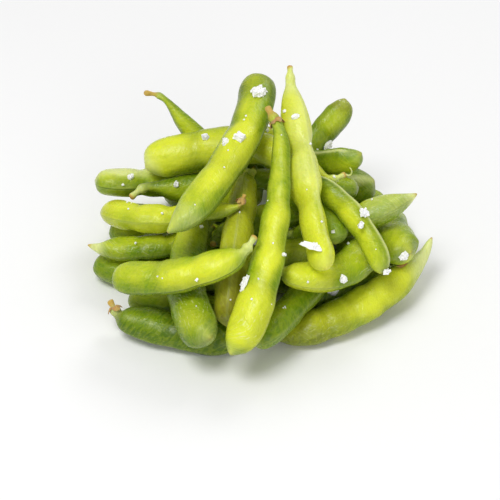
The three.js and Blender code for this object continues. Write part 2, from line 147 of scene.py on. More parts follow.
class SaltSettings(bpy.types.PropertyGroup):
    crystal: FloatProperty(
        name="Crystal size", description="Breadth of one crystal in a flake",
        default=0.0011, min=0.0004, max=0.003, unit="LENGTH")
    sprinkled: IntProperty(
        name="Sprinkled grains", description="Single grains that fell on the heap",
        default=70, min=0, max=400)
    white: FloatVectorProperty(
        name="Salt", description="Cloudy salt crystal", subtype="COLOR",
        default=linear("ffffff"), min=0, max=1)


class StageSettings(bpy.types.PropertyGroup):
    floor_size: FloatProperty(
        name="Floor size", description="Width of the floor", default=6.0, min=1, max=20, unit="LENGTH")
    floor: FloatVectorProperty(
        name="Floor", description="Colour of the floor", subtype="COLOR",
        default=linear("f7f7f7"), min=0, max=1)
    lamp_power: FloatProperty(
        name="Lamp power", description="Power of the large lamp over the heap",
        default=5.6, min=0, max=100, unit="POWER")


# Nodes of a material

class Value:
    """A node's output, with sums written as Python writes them."""

    def __init__(self, shader, socket):
        self.shader = shader
        self.socket = socket

    def maths(self, operation, *values, clamp=False):
        settings = {"operation": operation, "use_clamp": clamp}
        return self.shader.node("ShaderNodeMath", settings, dict(enumerate(values)))

    def __add__(self, other):
        return self.maths("ADD", self, other)

    def __radd__(self, other):
        return self.maths("ADD", other, self)

    def __sub__(self, other):
        return self.maths("SUBTRACT", self, other)

    def __rsub__(self, other):
        return self.maths("SUBTRACT", other, self)

    def __mul__(self, other):
        return self.maths("MULTIPLY", self, other)

    def __rmul__(self, other):
        return self.maths("MULTIPLY", other, self)

    def __abs__(self):
        return self.maths("ABSOLUTE", self)

    def clamped(self):
        return self.maths("ADD", self, 0.0, clamp=True)

    def above(self, low, high):
        """0 below the low limit, 1 above the high one and smooth between."""
        return self.shader.node("ShaderNodeMapRange", {"interpolation_type": "SMOOTHSTEP"},
                                {"Value": self, "From Min": low, "From Max": high})


class Shader:
    """A material and the nodes that it is made of."""

    def __init__(self, name):
        self.material = bpy.data.materials.new(name)
        self.material.use_nodes = True
        self.tree = self.material.node_tree
        self.tree.nodes.clear()

    def feed(self, socket, value):
        """Links a value to a socket, or sets the socket's own number or colour."""
        if isinstance(value, Value):
            self.tree.links.new(value.socket, socket)
        elif hasattr(value, "__len__") and len(value) == 3 and socket.type == "RGBA":
            socket.default_value = (*value, 1.0)
        else:
            socket.default_value = value

    def node(self, kind, settings=None, inputs=None, output=0):
        """Adds a node: its settings first, then its sockets' numbers or links."""
        node = self.tree.nodes.new(kind)
        for key, value in (settings or {}).items():
            setattr(node, key, value)
        for key, value in (inputs or {}).items():
            self.feed(node.inputs[key], value)
        return Value(self, node.outputs[output]) if node.outputs else None

    def attribute(self, name):
        """A number stored on the corners of the mesh."""
        return self.node("ShaderNodeAttribute", {"attribute_name": name}, output=2)

    def mix(self, factor, first, second):
        """Mixes two colours. The colours' sockets have the same names as others, so they go by number."""
        return self.node("ShaderNodeMix", {"data_type": "RGBA", "clamp_factor": True},
                         {0: factor, 6: first, 7: second}, output=2)

    def vector(self, x, y, z):
        return self.node("ShaderNodeCombineXYZ", None, {"X": x, "Y": y, "Z": z})

    def noise(self, place, scale, detail=3.0, roughness=0.55, distortion=0.0):
        return self.node("ShaderNodeTexNoise", None, {
            "Vector": place, "Scale": scale, "Detail": detail, "Roughness": roughness,
            "Distortion": distortion})

    def bump(self, height, strength, distance, normal=None):
        inputs = {"Height": height, "Strength": strength, "Distance": distance}
        if normal is not None:
            inputs["Normal"] = normal
        return self.node("ShaderNodeBump", None, inputs)

    def surface(self, constants, inputs):
        """The principled shader, with plain numbers set first and then what varies."""
        shader = self.node("ShaderNodeBsdfPrincipled", None, {**constants, **inputs})
        self.node("ShaderNodeOutputMaterial", None, {"Surface": shader})
        return self.material


# The form of a pod, from the rings of its solid

NECK_SHARE = 0.09  # of the way from a pole, where the stalk's end is thinner than the beak's
SEAM_CROWDING = 0.7  # how far the columns crowd towards the seams
END_CROWDING = 0.35  # how far the rows crowd towards the ends


def welded(node):
    """A node's corners, each named once, and its faces."""
    mesh = frame["nodes"][node].data
    corners = np.empty(len(mesh.vertices) * 3)
    mesh.vertices.foreach_get("co", corners)
    corners = corners.reshape(-1, 3)
    keys = np.round(corners * 1e7).astype(np.int64)
    _, first, names = np.unique(keys, axis=0, return_index=True, return_inverse=True)
    names = names.ravel()
    return corners[first], [[int(names[v]) for v in face.vertices] for face in mesh.polygons]


def pod_rings(node):
    """The two poles of a pod's solid, and its rings of corners from stalk to beak, in matching columns."""
    corners, faces = welded(node)
    near = [set() for _ in corners]
    for face in faces:
        for a in face:
            near[a].update(b for b in face if b != a)
    by_count = sorted(range(len(corners)), key=lambda v: -len(near[v]))
    first, last = by_count[:2]
    sides = len(near[first])
    rings, before, level = [], {first}, set(near[first])
    while level and level != {last}:
        rings.append(ring_order(level, near))
        level, before = {b for a in level for b in near[a]} - before - level, level
    rings = [corners[ring] for ring in rings]
    poles = [corners[first], corners[last]]
    if stalk_radius(poles[0], rings) > stalk_radius(poles[1], rings[::-1]):
        rings, poles = rings[::-1], poles[::-1]
    if any(len(ring) != sides for ring in rings):
        raise ValueError(f"{node} isn't made of rings")
    return poles, aligned(rings, poles)


def ring_order(level, near):
    """A ring's corners in their order round the pod."""
    order = [min(level)]
    while len(order) < len(level):
        step = [b for b in near[order[-1]] if b in level and b not in order]
        if not step:
            raise ValueError("a ring isn't closed")
        order.append(min(step) if len(order) == 1 else step[0])
    return order


def stalk_radius(pole, rings):
    """Mean radius of a pod a short way from a pole."""
    middles = [ring.mean(0) for ring in rings]
    steps = np.cumsum([np.linalg.norm(b - a) for a, b in zip([pole, *middles], middles)])
    radii = [np.linalg.norm(ring - middle, axis=1).mean() for ring, middle in zip(rings, middles)]
    return float(np.interp(steps[-1] * NECK_SHARE, steps, radii))


def aligned(rings, poles):
    """The rings with their columns in line, turning the same way."""
    middles = np.array([poles[0], *[ring.mean(0) for ring in rings], poles[1]])
    made = []
    for k, ring in enumerate(rings):
        middle = middles[k + 1]
        forward = middles[k + 2] - middles[k]
        spin = np.cross(ring[0] - middle, ring[1] - middle) @ forward
        ring = ring if spin > 0 else ring[::-1]
        if made:
            spread = made[-1] - made[-1].mean(0)
            shifts = [np.roll(ring, s, axis=0) for s in range(len(ring))]
            ring = min(shifts, key=lambda r: float(((r - middle - spread) ** 2).sum()))
        made.append(ring)
    return np.array(made)


def seam_phase(rings):
    """Where round a pod its seams lie, as a share of a turn."""
    offsets = rings - rings.mean(1, keepdims=True)
    reach = (offsets ** 2).sum(2).mean(0)
    columns = np.arange(len(reach)) / len(reach)
    wave = (reach * np.exp(-4j * np.pi * columns)).sum()
    return -np.angle(wave) / (4 * np.pi)


def spline_weights(knots, places):
    """Weights that take values at the knots to a natural cubic spline's values at the places."""
    count = len(knots)
    gap = np.diff(knots)
    system = np.eye(count)
    right = np.zeros((count, count))
    for i in range(1, count - 1):
        system[i, i - 1:i + 2] = gap[i - 1], 2 * (gap[i - 1] + gap[i]), gap[i]
        right[i, i - 1] += 6 / gap[i - 1]
        right[i, i] -= 6 / gap[i - 1] + 6 / gap[i]
        right[i, i + 1] += 6 / gap[i]
    bends = np.linalg.solve(system, right)
    values = np.eye(count)
    spans = np.clip(np.searchsorted(knots, places, side="right") - 1, 0, count - 2)
    width = gap[spans][:, None]
    share = (places - knots[spans])[:, None] / width
    back = 1 - share
    return (back * values[spans] + share * values[spans + 1]
            + width ** 2 / 6 * ((back ** 3 - back) * bends[spans] + (share ** 3 - share) * bends[spans + 1]))


class PodForm:
    """A pod's smooth surface: places along it and around it, in metres, with normals."""

    def __init__(self, node, along, around):
        poles, rings = pod_rings(node)
        sides = rings.shape[1]
        turn = np.arange(around) / around
        self.turn = turn - SEAM_CROWDING * np.sin(4 * np.pi * turn) / (4 * np.pi)
        gaps = self.turn[:, None] + seam_phase(rings) - np.arange(sides)[None, :] / sides
        gaps = np.where(np.abs(np.sin(np.pi * gaps)) < 1e-9, 1e-9, gaps)
        kernel = np.sin(sides * np.pi * gaps) / (sides * np.tan(np.pi * gaps))
        rounds = np.einsum("mj,kjc->kmc", kernel, rings)
        across = np.roll(rounds, around // 2, axis=1)
        ends = [np.broadcast_to(pole, rounds[0].shape) for pole in poles]
        stack = np.array([across[1], across[0], ends[0], *rounds, ends[1], across[-1], across[-2]])
        steps = np.linalg.norm(np.diff(stack, axis=0), axis=2).mean(1)
        knots = np.concatenate([[0], np.cumsum(steps)])
        low, high = knots[2], knots[-3]
        self.length = high - low
        share = np.linspace(0, 1, along + 1)
        share = share - END_CROWDING * np.sin(2 * np.pi * share) / (2 * np.pi)
        places = low + share * self.length
        self.points = np.einsum("ik,kmc->imc", spline_weights(knots, places), stack)
        self.points[0], self.points[-1] = poles
        self.along = places - low
        self.middles = self.points.mean(1)
        self.radius = np.linalg.norm(self.points - self.middles[:, None], axis=2).mean(1)
        self.seam = self.seam_distance()
        self.normals = self.surface_normals(self.points)

    def seam_distance(self):
        """Distance round the pod from the nearer seam."""
        rim = 2 * np.pi * self.radius[:, None]
        return np.abs(np.mod(self.turn + 0.25, 0.5) - 0.25) * rim

    def surface_normals(self, points):
        """Which way the surface faces, with each end facing straight along the pod."""
        forward = np.gradient(points, axis=0)
        side = np.roll(points, -1, axis=1) - np.roll(points, 1, axis=1)
        normals = np.cross(side, forward)
        size = np.linalg.norm(normals, axis=2, keepdims=True)
        normals = normals / np.maximum(size, 1e-12)
        outward = (normals * (points - points.mean(1, keepdims=True))).sum(2).mean()
        normals = normals if outward > 0 else -normals
        normals[0] = self.end_normal(0, 1)
        normals[-1] = self.end_normal(-1, -2)
        return normals

    def end_normal(self, pole, beside):
        """The way from the ring beside an end to the end."""
        out = self.points[pole].mean(0) - self.points[beside].mean(0)
        return out / max(np.linalg.norm(out), 1e-12)


# Large odd numbers that scatter whole numbers well
MIX_X, MIX_Y, MIX_Z, MIX_SEED, MIX_AGAIN = 73856093, 19349663, 83492791, 2654435, 1274126177
LARGEST = 0xFFFF


def scatter(places, seed):
    """A number between 0 and 1 for each whole-numbered place, the same on each run."""
    x, y, z = places[..., 0], places[..., 1], places[..., 2]
    mixed = (x * MIX_X) ^ (y * MIX_Y) ^ (z * MIX_Z) ^ (seed * MIX_SEED)
    mixed = (mixed ^ (mixed >> 13)) * MIX_AGAIN
    return ((mixed ^ (mixed >> 16)) & LARGEST) / LARGEST


def rumple(places, seed):
    """Smooth noise from -1 to 1 at places given in cells."""
    base = np.floor(places).astype(np.int64)
    share = places - base
    share = share * share * (3 - 2 * share)
    total = np.zeros(places.shape[:-1])
    for corner in np.ndindex(2, 2, 2):
        weight = np.prod(np.where(np.array(corner) == 1, share, 1 - share), axis=-1)
        total += weight * scatter(base + np.array(corner), seed)
    return total * 2 - 1


# What is particular to each pod: how much of each colour it has, how many sepals, and how many millimetres
# of its stalk are tan. A patch is a share along the pod, a share of a turn above what faces the front, its
# reach in millimetres along and around, what it is, and how strong. A scrap of dried skin has the same two
# shares, then its length and breadth in millimetres. A thread is a list of steps in millimetres. Along runs
# from the stalk, except on pod_top_left and pod_front_right_long, where it runs from the beak.
# A pod's share of bright green holds painted light and its share of deep green painted shade: pods on top of
# the heap are painted lighter and pods lying low in it darker, and bright and deep patches paint light and
# shade on parts of a pod.
PLAIN = {"bright": 0.35, "deep_and_shaded": 0.12, "olive": 0.0, "pale_neck": 0.35, "sepals": 0, "beak": 0.2,
         "pale_highlit_seam": 0.12, "dark_seam": 0.3, "tan_stalk": 1.4, "patches": [], "scraps": [], "thread": []}
PODS = {
    "pod_top_left": {
        "bright": 0.4, "deep_and_shaded": 0.1, "pale_neck": 0, "beak": 0, "tan_stalk": 0.3,
        "patches": [(0.93, 0, 15, 60, "deep_and_shaded", 0.7), (0.75, 0.25, 17, 5, "deep_and_shaded", 0.35),
                    (0.05, 0, 9, 40, "pale_and_highlit", 0.3), (0.45, 0.04, 18, 8, "bright", 0.9)]},
    # Its long pale patch down the front is a painted highlight.
    "pod_top_right": {
        "bright": 1.1, "deep_and_shaded": -0.15, "pale_neck": 0.85, "pale_highlit_seam": 0.45, "dark_seam": 0.1,
        "patches": [(0, 0, 1.3, 60, "rust", 0.9), (0.4, 0, 26, 7, "pale_and_highlit", 0.4)]},
    "pod_long_middle": {
        "bright": 0.3, "pale_neck": 0.1, "sepals": 5, "tan_stalk": 5,
        "patches": [(0.84, 0, 12, 40, "bright", 0.9), (0.55, 0, 20, 5, "bright", 0.8),
                    (0.88, 0, 9, 7, "painted_glints", 0.5)]},
    "pod_back_left_horn": {"bright": 0.4, "deep_and_shaded": 0.2, "tan_stalk": 4.5},
    "pod_upper_left": {
        "bright": 0.95, "deep_and_shaded": 0,
        "patches": [(0.97, 0, 6, 40, "pale_and_highlit", 0.5), (0.6, -0.2, 20, 5, "deep_and_shaded", 0.4)]},
    "pod_left_rim": {
        "bright": 0.45, "deep_and_shaded": 0.15, "dark_seam": 0.95,
        "patches": [(0.9, 0.2, 14, 6, "pale_and_highlit", 0.45), (0.6, 0.2, 22, 5, "pale_and_highlit", 0.6)]},
    "pod_left_stalk": {"bright": 0.2, "deep_and_shaded": 0.3, "pale_neck": 1, "tan_stalk": 1.6},
    "pod_left_curved": {"bright": 1, "deep_and_shaded": 0, "patches": [(0.9, 0.1, 8, 8, "olive", 0.6)]},
    "pod_left_point": {
        "bright": 0.3, "deep_and_shaded": 0.2, "beak": 0.9,
        "patches": [(0.97, 0, 7, 40, "pale_and_highlit", 0.6), (0.7, 0, 12, 8, "painted_glints", 0.3)]},
    "pod_front_left_long": {
        "bright": 0.35, "deep_and_shaded": 0.1, "pale_neck": 0.9, "tan_stalk": 1.6, "dark_seam": 0.9,
        "patches": [(0.85, -0.1, 9, 10, "deep_and_shaded", 0.3), (0.4, 0.02, 16, 6, "bright", 0.7)]},
    "pod_front_left_low": {"bright": -0.2, "deep_and_shaded": 0.95, "pale_neck": 0.8, "sepals": 4, "tan_stalk": 3.5},
    "pod_front_wide": {
        "bright": 0.15, "deep_and_shaded": 0.3,
        "patches": [(0.25, 0, 14, 12, "bright", 0.4), (0.85, -0.1, 14, 14, "deep_and_shaded", 0.3),
                    (0.8, 0, 12, 9, "painted_glints", 0.5)]},
    "pod_middle_olive": {
        "bright": 0.75, "deep_and_shaded": 0, "olive": 0.5,
        "patches": [(0.5, 0, 10, 10, "bright", 0.9), (0.85, 0, 12, 40, "brown", 0.35)]},
    "pod_under_top_left": {"bright": 0.7, "pale_neck": 0.7, "sepals": 5, "tan_stalk": 4},
    "pod_back_right_blunt": {
        "bright": 0.1, "deep_and_shaded": 0.3,
        "patches": [(0.97, 0, 6, 40, "olive", 0.6), (0.6, -0.2, 16, 6, "deep_and_shaded", 0.5),
                    (0.7, 0, 14, 6, "bright", 0.2)]},
    "pod_right_back_seamed": {"bright": 0.25, "deep_and_shaded": 0.2, "pale_highlit_seam": 1},
    "pod_right_curled_stalk": {
        "bright": 0.85, "pale_neck": 1,
        "thread": [(0.5, -0.3, -0.2), (0.6, -0.1, 0), (0.5, 0, 0.3), (0.3, 0, 0.7), (0, 0, 0.9),
                   (-0.3, 0, 0.8), (-0.4, 0, 0.5)]},
    "pod_right_back_low": {"bright": 0, "deep_and_shaded": 0.5, "patches": [(0.75, 0.05, 14, 2.5, "pale_and_highlit", 0.7)]},
    "pod_right_point": {
        "bright": 0.2, "deep_and_shaded": 0.2, "beak": 0.8,
        "patches": [(0.85, 0.1, 14, 9, "pale_and_highlit", 0.3), (0.7, 0, 14, 9, "painted_glints", 0.35)]},
    "pod_right_diagonal": {
        "bright": 0.3, "deep_and_shaded": 0.2, "pale_highlit_seam": 0.9,
        "patches": [(0.25, -0.1, 12, 8, "deep_and_shaded", 0.5), (0.55, 0, 12, 6, "bright", 0.5)]},
    "pod_right_round": {"bright": 0.35, "deep_and_shaded": 0.2},
    # Painted shade: the deep green and olive patches over this pod's stalk half stand in for the shade
    # there.
    "pod_front_right_long": {
        "bright": 0.6, "deep_and_shaded": 0.05, "pale_neck": 1, "tan_stalk": 0.8, "scraps": [(0.22, 0.13, 5, 1.8)],
        "patches": [(0.85, 0, 21, 60, "deep_and_shaded", 0.75), (0.75, 0, 20, 60, "olive", 0.4),
                    (0.1, 0, 15, 60, "pale_and_highlit", 0.8), (0.42, 0.05, 14, 9, "bright", 0.9),
                    (0.4, -0.25, 20, 5, "deep_and_shaded", 0.4), (0.7, 0, 9, 6, "painted_glints", 0.25)]},
    "pod_front_hook": {
        "bright": 0.35, "deep_and_shaded": 0.1, "sepals": 4, "tan_stalk": 2.4,
        "patches": [(0.3, 0, 9, 40, "bright", 0.9), (0.75, -0.2, 9, 5, "deep_and_shaded", 0.4),
                    (0.7, 0, 9, 8, "painted_glints", 0.4)]},
    "pod_front_low": {"bright": 0.05, "deep_and_shaded": 0.6},
    "pod_right_inner": {"bright": 0.1, "deep_and_shaded": 0.4},
    "pod_right_inner_low": {"bright": 0.1, "deep_and_shaded": 0.5},
    "pod_right_low": {"bright": 0.1, "deep_and_shaded": 0.6},
}
OUTSIDE = list(PODS)
INSIDE = sorted(n for n in frame["nodes"] if n.startswith("pod_") and n not in PODS)
FLAKES = sorted(n for n in frame["nodes"] if n.startswith("salt_"))
# Bright and deep green carry painted light and shade, pale some painted highlights, and the mask of pale
# dashes painted glints
MASKS = ("bright", "deep_and_shaded", "olive", "pale_and_highlit", "tan", "rust", "brown", "painted_glints")

# Sizes of the clouds, the mottling and the shaded stretches of a skin's colour
CLOUD, MOTTLE, SHADED = 0.007, 0.0018, 0.012
SWELL_REACH = 0.009  # the stretch whose mean girth a bean's girth is set against
SWELL_FULL = 0.0004  # how much wider than that a bean is at its middle
NECK = 0.13  # share of a pod that its neck takes


def pod_masks(form, look, seed):
    """How much of each colour every place of a pod's skin has, painted light and shade among them."""
    along = form.along[:, None] + np.zeros_like(form.seam)
    left = form.length - along
    turn = form.turn[None, :] + np.zeros_like(along)
    grain = rumple(form.points / CLOUD, seed)
    fine = rumple(form.points / MOTTLE, seed + 5)
    shade = rumple(form.points / SHADED, seed + 1)
    neck = form.length * NECK
    masks = {name: np.zeros_like(along) for name in MASKS}
    reach = np.abs(form.along[:, None] - form.along[None, :])
    near = np.exp(-(reach / SWELL_REACH) ** 2)
    swell = (form.radius - near @ form.radius / near.sum(1)) / SWELL_FULL
    body = smooth(form.along, neck, neck * 2) * smooth(form.length - form.along, 0.002, 0.009)
    swell = (np.clip(swell, -1, 1) * body)[:, None]
    # Painted light and shade: a pod's broad sides are painted lighter and its rims by the seams darker, as
    # light falls on them, and bulging beans are painted lighter and the waists between them darker.
    lit_broad_side = np.sin(2 * np.pi * turn) ** 2
    masks["bright"] += look["bright"] + 0.15 * swell + 0.26 * grain + 0.48 * lit_broad_side - 0.38
    masks["deep_and_shaded"] += look["deep_and_shaded"] + 0.28 * shade - 0.12 * swell + 0.42 - 0.54 * lit_broad_side
    masks["olive"] += look["olive"] * (0.75 + 0.4 * grain) + 0.12 * np.maximum(fine, 0)
    tapering = 1 - smooth(along, neck * 0.55, neck * 1.5)
    masks["pale_and_highlit"] += look["pale_neck"] * tapering * (0.8 + 0.3 * fine)
    masks["pale_and_highlit"] += look["beak"] * (1 - smooth(left, 0.0012, 0.0075))
    masks["tan"] += look["beak"] * (1 - smooth(left, 0.0005, 0.0022))
    stalk = look["tan_stalk"] * MM
    masks["tan"] += 1 - smooth(along + 0.0008 * fine, stalk * 0.6, stalk * 1.5)
    masks["brown"] += 0.8 * (1 - smooth(along + 0.0004 * fine, 0.0001, 0.0009))
    for where, side, length, breadth, what, strength in look["patches"]:
        far = (along - where * form.length) / (length * MM)
        rim = 2 * np.pi * form.radius[:, None]
        middle = turn_at(form, where, side)
        around = (np.mod(turn - middle + 0.5, 1) - 0.5) * rim / (breadth * MM)
        blot = 1 - smooth(np.sqrt(far ** 2 + around ** 2) + 0.18 * grain + 0.08 * fine, 0.45, 1.15)
        masks[what] += strength * blot
    return {name: np.clip(mask, 0, 1) for name, mask in masks.items()}


def turn_at(form, where, side):
    """The share of a turn that lies a given share above what faces the front, at a share of the length."""
    row = int(np.argmin(np.abs(form.along - where * form.length)))
    front = form.turn[np.argmax(form.normals[row] @ np.array(TOWARDS_CAMERA))]
    top = form.turn[np.argmax(form.normals[row] @ np.array(UP_IN_VIEW))]
    rises = np.mod(top - front + 0.5, 1) > 0.5
    return front + (side if rises else -side)


THREAD_RADIUS = 0.00036


def thread(start, ways):
    """A thin dried thread from a place on through a list of steps, as corners and faces."""
    path = [Vector(start)]
    for way in ways:
        path.append(path[-1] + Vector(way) * MM)
    corners, faces, sides = [], [], 8
    for k, at in enumerate(path):
        line = (path[min(k + 1, len(path) - 1)] - path[max(k - 1, 0)]).normalized()
        across = line.cross(Vector((0.2, 0.3, 1))).normalized()
        up = line.cross(across)
        thin = THREAD_RADIUS * (1 - 0.5 * k / (len(path) - 1))
        for j in range(sides):
            angle = j * math.tau / sides
            corners.append(at + (across * math.cos(angle) + up * math.sin(angle)) * thin)
    for k in range(len(path) - 1):
        for j in range(sides):
            a, b = k * sides + j, k * sides + (j + 1) % sides
            faces.append([a, b, b + sides, a + sides])
    faces += [list(range(sides))[::-1], [len(corners) - sides + j for j in range(sides)]]
    return corners, faces


def smooth(value, low, high):
    """0 below the low limit, 1 above the high one and smooth between."""
    share = np.clip((value - low) / (high - low), 0, 1)
    return share * share * (3 - 2 * share)


# How wide a seam's ridge, the groove along it and its pale and dark lines are
RIDGE, GROOVE, PALE_LINE, DARK_LINE = 0.0008, 0.00028, 0.0007, 0.00022
# Sizes of a skin's dents and pits, and of a fold along and around
DENT, PIT, FOLD_ALONG, FOLD_AROUND = 0.0052, 0.0014, 0.004, 0.010


def dressed_points(form, settings, seed):
    """The pod's surface with its seams, folds and dents."""
    along = form.along[:, None]
    seam = form.seam
    turn = form.turn[None, :]
    first = np.abs(np.mod(turn + 0.5, 1) - 0.5) < 0.25
    ends = smooth(along, 0.003, 0.012) * smooth(form.length - along, 0.002, 0.010)
    groove = np.where(first, 0.55, 0.3) * np.exp(-(seam / GROOVE) ** 2)
    ridge = np.exp(-(seam / RIDGE) ** 2) - groove
    lift = settings.seam_height * ridge * (0.35 + 0.65 * ends)
    half = np.where(first, 3.0, 9.0) + 0 * seam
    cells = np.stack([along / FOLD_ALONG + 0 * seam, seam / FOLD_AROUND, half], axis=-1)
    folds = 1 - np.abs(rumple(cells, seed)) * 2
    dents = rumple(form.points / DENT, seed + 2)
    pits = rumple(form.points / PIT, seed + 3)
    waist = np.clip(1 - form.radius / max(form.radius.max(), 1e-9), 0, 1)[:, None]
    skin = 0.34 * dents + 0.12 * pits + (0.15 + 1.2 * waist) * 0.35 * folds
    lift = lift + settings.wrinkle_depth * skin * ends
    made = form.points + form.normals * lift[..., None]
    made[..., 2] = np.maximum(made[..., 2], 0.0)
    made[0], made[-1] = form.points[0], form.points[-1]
    return made


def grid_faces(rows, columns):
    """Faces of a closed tube of rings with a point at each end, as the places of its corners."""
    def corner(row, column):
        if row == 0:
            return 0
        if row == rows:
            return 1 + (rows - 1) * columns
        return 1 + (row - 1) * columns + column % columns

    faces = []
    for row in range(rows):
        for column in range(columns):
            face = [corner(row, column), corner(row, column + 1),
                    corner(row + 1, column + 1), corner(row + 1, column)]
            faces.append(list(dict.fromkeys(face)))
    return faces


# Of sepals and scraps of dried skin
SEPAL_BREADTH, SEPAL_GAP, SEPAL_THICKNESS, SCRAP_CURL = 0.0022, 0.00018, 0.00014, 0.0012


def sepal_shell(form, points, start, turn, length, breadth, curl):
    """A dried lobe that hugs the pod's neck, as corners and faces."""
    rows, columns = 7, 5
    top, bottom = [], []
    for i in range(rows + 1):
        share = i / rows
        half = breadth * (1 - share ** 1.6) * (0.75 + 0.5 * math.sin(math.pi * share * 0.8)) / 2
        for j in range(columns + 1):
            side = j / columns * 2 - 1
            at, out = surface_at(form, points, start + share * length, turn, side * half)
            lift = SEPAL_GAP + curl * share ** 2 + 0.0002 * (1 - side * side)
            thick = SEPAL_THICKNESS * (1 - 0.6 * share)
            top.append(at + out * (lift + thick))
            bottom.append(at + out * lift)
    count = (rows + 1) * (columns + 1)
    faces = []
    for i in range(rows):
        for j in range(columns):
            a = i * (columns + 1) + j
            square = [a, a + 1, a + columns + 2, a + columns + 1]
            faces.append(square)
            faces.append([count + v for v in reversed(square)])
    rim = list(range(columns + 1))
    rim += [i * (columns + 1) + columns for i in range(1, rows + 1)]
    rim += [rows * (columns + 1) + j for j in range(columns - 1, -1, -1)]
    rim += [i * (columns + 1) for i in range(rows - 1, 0, -1)]
    for a, b in zip(rim, rim[1:] + rim[:1]):
        faces.append([b, a, count + a, count + b])
    return top + bottom, faces


def surface_at(form, points, along, turn, aside):
    """A place on the pod at a distance along it, a share of a turn round it and a distance aside, and
    which way the pod faces there."""
    row = int(np.argmin(np.abs(form.along - along)))
    wanted = np.mod(turn + aside / (2 * np.pi * max(form.radius[row], 1e-4)), 1)
    gap = np.abs(np.mod(form.turn - wanted + 0.5, 1) - 0.5)
    column = int(np.argmin(gap))
    return points[row, column], form.normals[row, column]


def joined(shells):
    """One list of corners and one of faces from those of several shells."""
    corners, faces = [], []
    for shell, shell_faces in shells:
        base = len(corners)
        corners += shell
        faces += [[base + v for v in face] for face in shell_faces]
    return corners, faces


def placed(mesh):
    """A piece with this mesh, in the scene."""
    piece = bpy.data.objects.new(mesh.name, mesh)
    bpy.context.scene.collection.objects.link(piece)
    return piece


def new_mesh(name, corners, faces, materials):
    """A piece made of corners and faces."""
    mesh = bpy.data.meshes.new(name)
    mesh.from_pydata([tuple(map(float, c)) for c in corners], [], faces)
    for material in materials:
        mesh.materials.append(material)
    return placed(mesh)


def turned_outwards(mesh):
    """Turns every face of a closed mesh outwards."""
    work = bmesh.new()
    work.from_mesh(mesh)
    bmesh.ops.recalc_face_normals(work, faces=work.faces)
    work.to_mesh(mesh)
    work.free()


def dried_shells(form, points, look, settings, draw):
    """A pod's dried sepals and its scraps of dried skin."""
    shells = []
    for k in range(look["sepals"]):
        turn = (k + draw.uniform(-0.2, 0.2)) / look["sepals"]
        start = form.length * 0.075 + draw.uniform(-0.0004, 0.0006)
        length = settings.sepal_length * draw.uniform(0.75, 1.2)
        breadth = SEPAL_BREADTH * draw.uniform(0.8, 1.2)
        curl = draw.uniform(0.0001, 0.0014)
        shells.append(sepal_shell(form, points, start, turn, length, breadth, curl))
    for where, side, length, breadth in look["scraps"]:
        start, turn = form.length * where, turn_at(form, where, side)
        shells.append(sepal_shell(form, points, start, turn, length * MM, breadth * MM, SCRAP_CURL))
    return shells


def make_pod(node, grid, materials):
    """One pod: its skin with seams and folds, and the sepals, scraps and thread that it has."""
    settings = bpy.context.scene.edamame_pods
    seed = sum(ord(c) * (i + 3) for i, c in enumerate(node))
    draw = random.Random(seed)
    # A pod inside the heap, with no entry, is painted deep green for the shade there.
    look = {**PLAIN, **PODS.get(node, {"bright": 0.1 + 0.3 * draw.random(), "deep_and_shaded": 0.4})}
    form = PodForm(node, *grid)
    points = dressed_points(form, settings, seed)
    skin = [points[0, 0], *points[1:-1].reshape(-1, 3), points[-1, 0]], grid_faces(*grid)
    dried = joined(dried_shells(form, points, look, settings, draw))
    threads = joined([thread(points[0, 0], look["thread"])] if look["thread"] else [])
    piece = new_mesh(node + "_pod", *joined([skin, dried, threads]), materials)
    mesh = piece.data
    slots = [0] * len(skin[1]) + [1] * len(dried[1]) + [0] * len(threads[1])
    mesh.polygons.foreach_set("material_index", slots)
    mesh.polygons.foreach_set("use_smooth", [True] * len(slots))

    def store(name, values):
        """Stores a number on the skin's corners. The rest has none, but for the pale of a thread."""
        rest = [np.zeros(len(dried[0])), np.full(len(threads[0]), float(name == "pale_and_highlit"))]
        flat = np.concatenate([[values[0, 0]], values[1:-1].ravel(), [values[-1, 0]], *rest])
        mesh.attributes.new(name, "FLOAT", "POINT").data.foreach_set("value", flat.astype(np.float32))

    for name, mask in pod_masks(form, look, seed).items():
        store(name, mask)
    store("along_mm", form.along[:, None] / MM + 0 * form.seam)
    store("side_mm", form.turn[None, :] * 2 * np.pi * form.radius[:, None] / MM)
    store("odd", np.full_like(form.seam, draw.random()))
    ends = smooth(form.along, 0.004, 0.012) * smooth(form.length - form.along, 0.002, 0.008)
    # The pale line along each seam is partly the seam's own paler colour and partly a painted highlight on
    # its ridge.
    store("pale_highlit_seam", look["pale_highlit_seam"] * ends[:, None] * np.exp(-(form.seam / PALE_LINE) ** 2))
    store("dark_seam", look["dark_seam"] * ends[:, None] * np.exp(-(form.seam / DARK_LINE) ** 2))
    turned_outwards(mesh)
    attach(piece, "root")
    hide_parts(node)


# Materials

